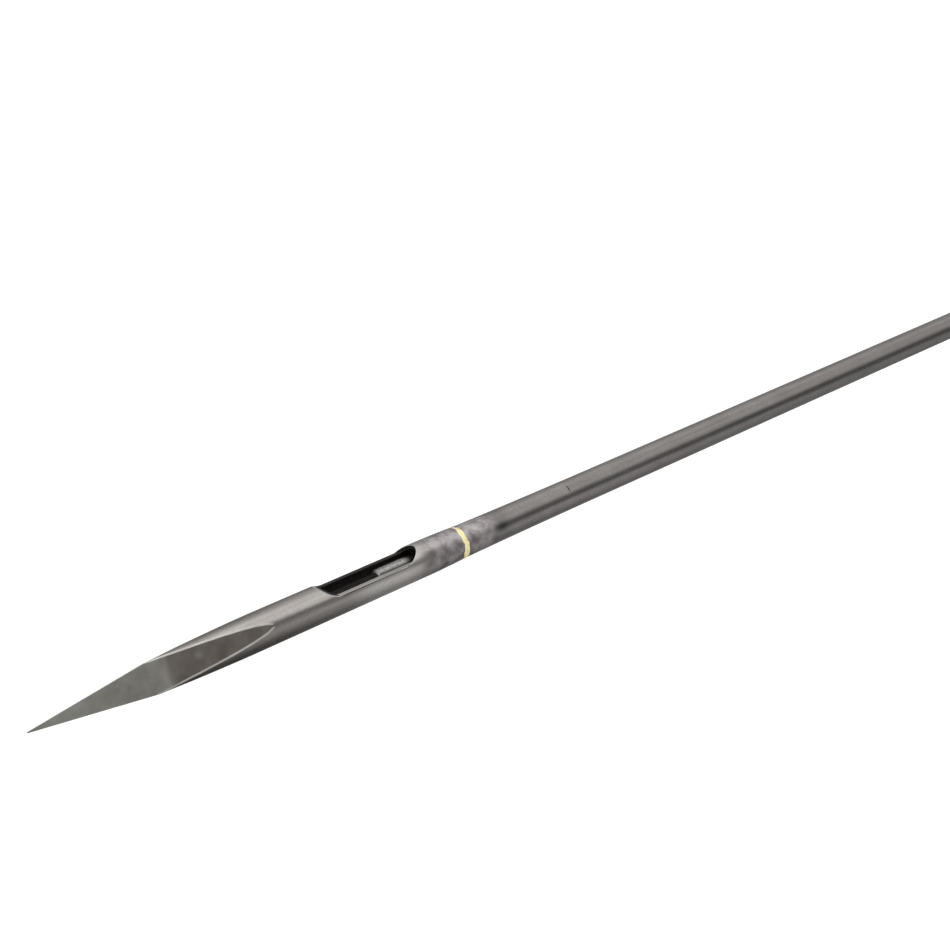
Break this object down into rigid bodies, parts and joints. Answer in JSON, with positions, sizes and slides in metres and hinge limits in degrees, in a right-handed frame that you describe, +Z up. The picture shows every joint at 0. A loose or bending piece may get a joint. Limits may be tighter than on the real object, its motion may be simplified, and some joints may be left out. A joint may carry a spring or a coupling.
{
  "type": "tufting needle",
  "caption": "Latched tufting needle: faceted point, notched tubular head closed by a sliding rod, slim shaft, and a turned wooden handle with a sprung thumb button.",
  "frame": {"origin": "centre of the flat under the belly of the handle, which the tool is laid on", "axes": "+X along the needle from its tip towards the butt, +Z up through the notch and the thumb button"},
  "size_m": [0.3718, 0.028, 0.0231],
  "materials": {
    "ground_steel": "ground bright steel with fine lines along the needle",
    "drawn_steel": "drawn steel tube, a little darker, with long streaks",
    "rod_steel": "drawn bright rod, matt from use",
    "braze": "pale brazing metal, ground flush",
    "turned_brass": "turned brass with fine rings",
    "ferrule_brass": "polished brass with soft wear",
    "fastener_steel": "plain steel screw and pin heads",
    "button_steel": "satin milled steel",
    "spring_steel": "dark tempered spring wire",
    "beech": "oiled beech with small dark flecks along the grain",
    "leather": "hard brown leather"
  },
  "bodies": {
    "needle_body": {"needle_point": "ground_steel", "braze_ring": "braze", "shaft_tube": "drawn_steel", "front_bush": "turned_brass", "bush_braze_ring": "braze", "ferrule": "ferrule_brass", "ferrule_pin_left": "fastener_steel", "ferrule_pin_right": "fastener_steel", "handle": "beech", "slot_plate": "ferrule_brass", "plate_screw_front": "fastener_steel", "plate_screw_rear": "fastener_steel", "buffer_washer": "leather", "end_plug": "turned_brass", "return_spring": "spring_steel"},
    "latch_body": {"latch_rod": "rod_steel", "slide_carrier": "turned_brass", "rod_set_screw": "fastener_steel", "thumb_button": "button_steel", "button_screw": "fastener_steel"}
  },
  "joints": [
    {"name": "latch_slide", "type": "slide", "parent": "needle_body", "child": "latch_body", "axis": [1, 0, 0], "range_m": [0, 0.018], "stiffness_N_per_m": 250, "springref_m": -0.01, "deforming": ["return_spring"]}
  ]
}
